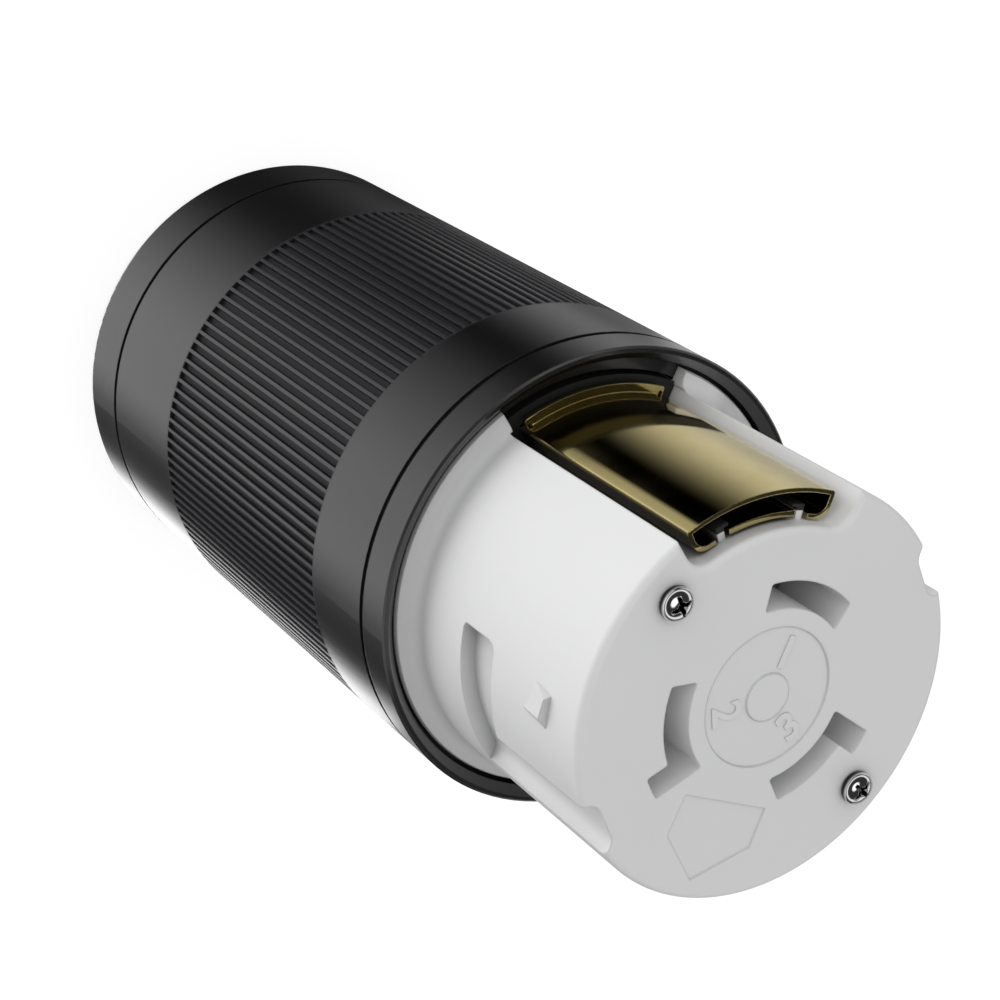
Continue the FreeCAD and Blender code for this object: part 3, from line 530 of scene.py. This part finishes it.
def screw_grid(size, turns=160):
    """Points of one screw on the Z axis, as rows along the profile and columns round the axis.
    Crown rows: (r, angle, crown_height(r) - recess_cut). Thread rows: the shank's radius less
    |2 * frac(z / pitch - angle / full turn) - 1| times the thread depth, which grows from nothing
    over the first pitch."""
    angle = np.linspace(0.0, 2.0 * math.pi, turns, endpoint=False)[None, :]
    radius = (np.linspace(0.0, 1.0, CROWN_ROWS) ** 0.9 * size["head"] * 0.995)[1:, None]
    crown_z = crown_height(radius, size) - recess_cut(radius * np.cos(angle), radius * np.sin(angle), size)
    crown = np.stack([radius + 0 * angle, crown_z + 0 * angle], axis=-1)
    under = [(r * size["head"], z * size["edge"]) for r, z in HEAD_SIDE] + [(size["shank"], 0.0)]
    smooth_end = -(size["length"] - size["thread_length"])
    under += [(size["shank"], z) for z in np.linspace(FIRST_SHANK_ROW, smooth_end, SHANK_ROWS)]
    plain = np.array(under)[:, None, :] + 0 * angle[..., None]
    z = np.linspace(smooth_end, THREAD_STOPS_ABOVE_TIP - size["length"], THREAD_ROWS)[1:, None]
    phase = np.mod(z / size["pitch"] - angle / (2.0 * math.pi), 1.0)
    fade = smooth_step(-z, -smooth_end, -smooth_end + size["pitch"])
    cut = size["thread_depth"] * np.abs(2.0 * phase - 1.0) * fade
    thread = np.stack([size["shank"] - cut, z + 0 * angle], axis=-1)
    cone = [(0.75 * size["shank"], TIP_HEIGHT - size["length"]), (0.5 * size["shank"], -size["length"])]
    tip = np.array(cone)[:, None, :] + 0 * angle[..., None]
    rows = np.concatenate([crown, plain, thread, tip])
    return np.stack([rows[..., 0] * np.cos(angle), rows[..., 0] * np.sin(angle), rows[..., 1]], axis=-1)


# %% [markdown]
# A grid of points becomes a closed skin by joining each column to the next, round to the first,
# and by closing both ends with a pole, a point that a fan of triangles meets. All faces are made
# as index arrays and handed to the mesh at once.


# %% From a grid to a mesh
def closed_skin(points, first_pole, last_pole):
    """Vertices and faces of a grid of rows and columns that is closed round and at both ends."""
    rows, columns = points.shape[:2]
    index = np.arange(rows * columns).reshape(rows, columns)
    beside = np.roll(index, -1, axis=1)
    quads = np.stack([index[:-1], index[1:], beside[1:], beside[:-1]], axis=-1).reshape(-1, 4)
    top, bottom = rows * columns, rows * columns + 1
    first = np.stack([np.full(columns, top), index[0], beside[0]], axis=-1)
    last = np.stack([beside[-1], index[-1], np.full(columns, bottom)], axis=-1)
    vertices = np.concatenate([points.reshape(-1, 3), [first_pole, last_pole]])
    return vertices, [*quads.tolist(), *first.tolist(), *last.tolist()]


def add_piece(name, vertices, faces, material, sharp_angle=40.0):
    """A mesh object with one material, smooth except where faces meet at more than sharp_angle."""
    mesh = bpy.data.meshes.new(name)
    mesh.from_pydata(vertices, [], faces)
    mesh.materials.append(material)
    mesh.polygons.foreach_set("use_smooth", np.ones(len(mesh.polygons), bool))
    mesh.set_sharp_from_angle(angle=math.radians(sharp_angle))
    piece = bpy.data.objects.new(name, mesh)
    bpy.context.scene.collection.objects.link(piece)
    print(name, "has", len(mesh.polygons), "faces")
    return piece


# %% Both screws as one piece
LOW_RIM = (FACE_Z + 0.75 * MM, FACE_Z + 1.1 * MM)
RECESS_FLOOR = (FACE_Z + 1.45 * MM, FACE_Z + 1.75 * MM)
RECESS_RADIUS = (1.5 * MM, 1.65 * MM)
PLATE_SHADE = (0.035, 0.035, 0.037)


def face_screws(size, centres, turn_degrees):
    """Vertices and faces of the screws. Each is one closed skin, turned and moved to its centre."""
    vertices, faces = [], []
    middle = [0.0, 0.0, size["crown"] - float(recess_cut(0.0, 0.0, size))]
    end = [0.0, 0.0, -size["length"]]
    for (x, y), turn in zip(centres, turn_degrees):
        points, skin = closed_skin(screw_grid(size), middle, end)
        c, s = math.cos(math.radians(turn)), math.sin(math.radians(turn))
        points = points @ np.array([[c, s, 0.0], [-s, c, 0.0], [0.0, 0.0, 1.0]]) + (x, y, FACE_Z)
        start = sum(len(part) for part in vertices)
        faces += [[start + corner for corner in face] for face in skin]
        vertices.append(points)
    return np.concatenate(vertices), faces


def screw_plate():
    """Bright plating. The low rim and the cross recess have a dark colour, for the dark reflections
    seen there in the photograph. The recess is what lies deep and near a screw's own axis."""
    material, finish = new_finish("bright_screw_plate")
    clouds = finish.noise(500.0, 3.0, 0.6)
    plate = finish.mix(clouds, (0.70, 0.70, 0.71), (0.84, 0.84, 0.85))
    low_rim = finish.fade(finish.height(), *LOW_RIM)
    deep = finish.fade(finish.height(), *RECESS_FLOOR)
    first, second = (finish.from_axis(centre) for centre in SCREW_CENTRES)
    nearest = finish.node("ShaderNodeMath", {"operation": "MINIMUM"}, {0: first, 1: second})[0]
    in_recess = deep * finish.fade(nearest, *RECESS_RADIUS)
    base = finish.mix((1.0 - low_rim) * (1.0 - in_recess), PLATE_SHADE, plate)
    normal = finish.bump(clouds, 0.004 * MM, 0.5, finish.soft_edges(0.05 * MM))
    finish.surface(base, 0.05 + 0.05 * clouds, normal, Metallic=1.0)
    return material


screw_skin = face_screws(SCREW, SCREW_CENTRES, SCREW_TURNS)
screw_piece = add_piece("pan_head_screws", *screw_skin, screw_plate())
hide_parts("face_screws")
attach(screw_piece, "root")

# %% [markdown]
# ## Raised numbers on the face
# The ring round the centre of the face carries plain raised numbers, which count the three slots
# and nothing else. The font's outline is given a low height and a chamfer, made a mesh, and laid
# into the ring beside each slot.

# %% Number marks
NUMBER_SIZE = 6.2 * MM
NUMBER_RISE = 0.24 * MM
NUMBER_CHAMFER = 0.09 * MM
NUMBER_SUNK = 0.02 * MM
NUMBER_THICKENING = 0.05 * MM
RING_FLOOR = FACE_Z - 0.25 * MM
RING_MIDDLE = 6.55 * MM
SLOT_ANGLES = (-116.0, 4.0, 124.0)


def number_mark(digit, angle):
    """The mesh of one digit on the ring's floor. Its top points at the middle of the face."""
    curve = bpy.data.curves.new("digit", "FONT")
    curve.body = str(digit)
    curve.size = NUMBER_SIZE
    curve.align_x = "CENTER"
    curve.align_y = "CENTER"
    curve.offset = NUMBER_THICKENING
    curve.extrude = NUMBER_RISE / 2 - NUMBER_CHAMFER
    curve.bevel_depth = NUMBER_CHAMFER
    curve.bevel_resolution = 1
    curve.resolution_u = 6
    holder = bpy.data.objects.new("digit", curve)
    mesh = bpy.data.meshes.new_from_object(holder)
    turn = Matrix.Rotation(math.radians(angle + 90.0), 4, "Z")
    across, along = math.cos(math.radians(angle)), math.sin(math.radians(angle))
    middle_z = RING_FLOOR + NUMBER_RISE / 2 - NUMBER_SUNK
    place = Matrix.Translation((RING_MIDDLE * across, RING_MIDDLE * along, middle_z))
    mesh.transform(place @ turn)
    bpy.data.objects.remove(holder)
    return mesh


number_meshes = [number_mark(digit, angle) for digit, angle in enumerate(SLOT_ANGLES, start=1)]
number_points = np.concatenate([[v.co[:] for v in mesh.vertices] for mesh in number_meshes])
number_faces, start = [], 0
for mesh in number_meshes:
    number_faces += [[start + corner for corner in face.vertices] for face in mesh.polygons]
    start += len(mesh.vertices)
number_plastic = socket_plastic("white_number_nylon", 0.06, RING_FLOOR)
numbers = add_piece("slot_numbers", number_points, number_faces, number_plastic, 30.0)
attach(numbers, "root")

# %% [markdown]
# ## The studio
# The photograph has a pure white ground, a bright side, and long soft reflections on the black
# barrel. They come from white cards and dark gaps round the object, so the studio is laid out by
# direction: three ramps over the angle round the axis, for the steep, middle and flat directions
# that the barrel reflects from its rear to its mouth, and one ramp over the height for what the
# face and the screws reflect. The cards are placed for the photograph's camera, so in other views
# they fall elsewhere. Only glossy rays see them; dull surfaces get a softer light, the camera
# sees white, and no lamp is made stronger for it.

# %% Cards round the object, by angle
# Each stop is an angle, as a share of a turn, or a height, and how bright the studio is there.
STEEP_CARDS = [
    (0.0, 0.0), (0.2, 0.02), (0.45, 0.9), (0.55, 0.8),
    (0.66, 0.04), (0.71, 0.04), (0.79, 2.0), (0.92, 0.0),
]
MIDDLE_CARDS = [
    (0.0, 0.1), (0.07, 0.4), (0.18, 0.0), (0.45, 0.9), (0.55, 0.9),
    (0.66, 0.04), (0.71, 0.02), (0.79, 1.9), (0.92, 0.1),
]
FLAT_CARDS = [
    (0.0, 0.5), (0.06, 0.7), (0.19, 0.0), (0.22, 0.0), (0.27, 0.5), (0.45, 0.9),
    (0.55, 0.9), (0.68, 0.0), (0.75, 0.0), (0.81, 0.45), (1.0, 0.5),
]
HIGH_CARDS = [(0.0, 0.3), (0.25, 0.05), (0.38, 0.9), (0.50, 1.0), (0.58, 0.04), (0.93, 0.03), (0.97, 1.4)]
STEEP_TO_MIDDLE = (-0.838, -0.82)
MIDDLE_TO_FLAT = (-0.768, -0.762)
FLAT_TO_HIGH = (0.0, 0.2)
print("stops of the cards:", *map(len, (STEEP_CARDS, MIDDLE_CARDS, FLAT_CARDS, HIGH_CARDS)))


def cards(finish, direction):
    """How bright the studio is in each direction, for glossy rays. Three ramps over the angle
    round the axis follow each other from steep downward directions to flatter ones, with a soft
    step between two of them. Above the horizon the brightness goes by height: pale walls, a dark
    gap, and a lamp box overhead."""
    angle, height = finish.turn(direction), finish.height(direction)
    rings_of_cards = (STEEP_CARDS, MIDDLE_CARDS, FLAT_CARDS)
    steep, middle, flat = (finish.ramp(angle, stops, "EASE") for stops in rings_of_cards)
    lower = finish.mix(finish.spread(height, *STEEP_TO_MIDDLE), steep, middle)
    round_about = finish.mix(finish.spread(height, *MIDDLE_TO_FLAT), lower, flat)
    return finish.mix(finish.spread(height, *FLAT_TO_HIGH), round_about, finish.ramp(height, HIGH_CARDS))


def is_ray(finish, kind):
    return finish.node("ShaderNodeLightPath")[f"Is {kind} Ray"]


def sees_ground(finish):
    """1 for the rays that should meet a pure white ground."""
    return is_ray(finish, "Camera") + is_ray(finish, "Transmission")


# %% World and floor
BRIGHT_SIDE = (0.60, -0.80, 0.0)
# Each light goes from one share of a direction to another, and from one level to another.
LIGHT_AROUND = (-0.25, 1.0, 0.22, 0.84)
LIGHT_BEHIND = (-0.5, -0.95, 0.0, 0.85)
LIGHT_ABOVE = (0.3, 0.8, 0.0, 0.34)
GROUND_BY_HEIGHT = (-0.3, -0.6, 0.0, 1.0)
GROUND_BY_SIDE = (-0.3, 0.7, 0.1, 1.7)
FLOOR_HALF = 8.0
FLOOR_COLOUR = (0.40, 0.40, 0.40)
FLOOR_GLOW = 0.79


def soft_light(finish, direction):
    """The light that falls on dull surfaces: from all round, more from one side, some from the far
    side, more from high above, and most from the pale ground on the bright side."""
    side = finish.vector("DOT_PRODUCT", direction, BRIGHT_SIDE)["Value"]
    height = finish.height(direction)
    around = finish.spread(side, *LIGHT_AROUND)
    behind = finish.spread(side, *LIGHT_BEHIND)
    above = finish.spread(height, *LIGHT_ABOVE)
    below = finish.spread(height, *GROUND_BY_HEIGHT) * finish.spread(side, *GROUND_BY_SIDE)
    return around + behind + above + below


def studio_world():
    """White for the camera, cards for glossy rays, soft light for the others."""
    world = bpy.data.worlds.new("studio")
    bpy.context.scene.world = world
    world.use_nodes = True
    finish = Finish(world.node_tree)
    direction = finish.node("ShaderNodeTexCoord")["Generated"]
    seen = finish.mix(is_ray(finish, "Glossy"), soft_light(finish, direction), cards(finish, direction))
    colour = finish.mix(sees_ground(finish), seen, (1.0, 1.0, 1.0))
    background = finish.node("ShaderNodeBackground", None, {"Color": colour})
    finish.node("ShaderNodeOutputWorld", None, {"Surface": background[0]})
    print(world.name, "world has", len(world.node_tree.nodes), "nodes")


def studio_floor(half, glow):
    """A wide square under the rear rim. It keeps the object's shadow, because its own light for
    the camera only lifts the lit plastic to white. Rays from the object pass it, down to the world."""
    material, finish = new_finish("pale_floor")
    lit = finish.node("ShaderNodeBsdfDiffuse", None, {"Color": FLOOR_COLOUR})
    strength = glow * sees_ground(finish)
    glowing = finish.node("ShaderNodeEmission", None, {"Color": 1.0, "Strength": strength})
    both = finish.node("ShaderNodeAddShader", None, {0: lit[0], 1: glowing[0]})
    finish.node("ShaderNodeOutputMaterial", None, {"Surface": both[0]})
    corners = [(-half, -half, 0.0), (half, -half, 0.0), (half, half, 0.0), (-half, half, 0.0)]
    floor = add_piece("studio_floor", corners, [(0, 1, 2, 3)], material)
    floor.visible_glossy = False
    floor.visible_diffuse = False


studio_world()
studio_floor(FLOOR_HALF, FLOOR_GLOW)


# %% [markdown]
# Two wide, low lamps stand on the camera's side of the object: the main one lights the white side,
# the weaker one the side with the earth contact. Both are low, so the mating face stays a step
# darker than the side, as in the photograph.


# %% Lamps
def soft_lamp(name, azimuth, elevation, distance, width, power):
    """A square area lamp that looks at the middle of the object from a direction in degrees."""
    lamp = bpy.data.lights.new(name, "AREA")
    lamp.shape = "SQUARE"
    lamp.size = width
    lamp.energy = power
    holder = bpy.data.objects.new(name, lamp)
    bpy.context.scene.collection.objects.link(holder)
    a, e = math.radians(azimuth), math.radians(elevation)
    away = np.array([math.cos(a) * math.cos(e), math.sin(a) * math.cos(e), math.sin(e)])
    middle = np.array([0.0, 0.0, FACE_Z / 2])
    side = np.cross([0.0, 0.0, 1.0], away)
    side = side / np.linalg.norm(side)
    up = np.cross(away, side)
    turn = Matrix(np.stack([side, up, away], axis=1).tolist()).to_4x4()
    holder.matrix_world = Matrix.Translation((middle + away * distance).tolist()) @ turn
    holder.visible_glossy = False
    print(name, "at", np.round(middle + away * distance, 2))


soft_lamp("main_lamp", -48.0, 20.0, 1.2, 0.7, 0.8)
soft_lamp("side_lamp", -135.0, 22.0, 1.2, 0.6, 0.4)

# %% [markdown]
# ## Camera
# The place and turn of the camera were solved from points of the object that the photograph shows:
# the rims, the grooves, the slots and both screws. The lens is longer than normal, as in most
# product pictures.

# %% Camera from the solved place
CAMERA_PLACE = (0.1599, -0.1460, 0.3428)
CAMERA_RIGHT = (-0.8562, 0.0114, 0.5164)
CAMERA_UP = (-0.2251, -0.9080, -0.3531)
CAMERA_FORWARD = (-0.4648, 0.4185, -0.7801)
CAMERA_LENS = 84.41

camera = bpy.data.cameras.new("photograph")
camera.lens = CAMERA_LENS
camera.sensor_width = 36.0
camera.sensor_fit = "HORIZONTAL"
camera.clip_start = 0.01
holder = bpy.data.objects.new("photograph", camera)
bpy.context.scene.collection.objects.link(holder)
rows = [
    (right, up, -forward, place)
    for right, up, forward, place in zip(CAMERA_RIGHT, CAMERA_UP, CAMERA_FORWARD, CAMERA_PLACE)
]
holder.matrix_world = Matrix([*rows, (0.0, 0.0, 0.0, 1.0)])
bpy.context.scene.camera = holder
print("camera looks down by", round(math.degrees(math.asin(-CAMERA_FORWARD[2])), 1), "degrees")

# %% [markdown]
# ## Colours as written
# The Standard view transform keeps colours as they are written.

# %% Finish
bpy.context.scene.view_settings.view_transform = "Standard"
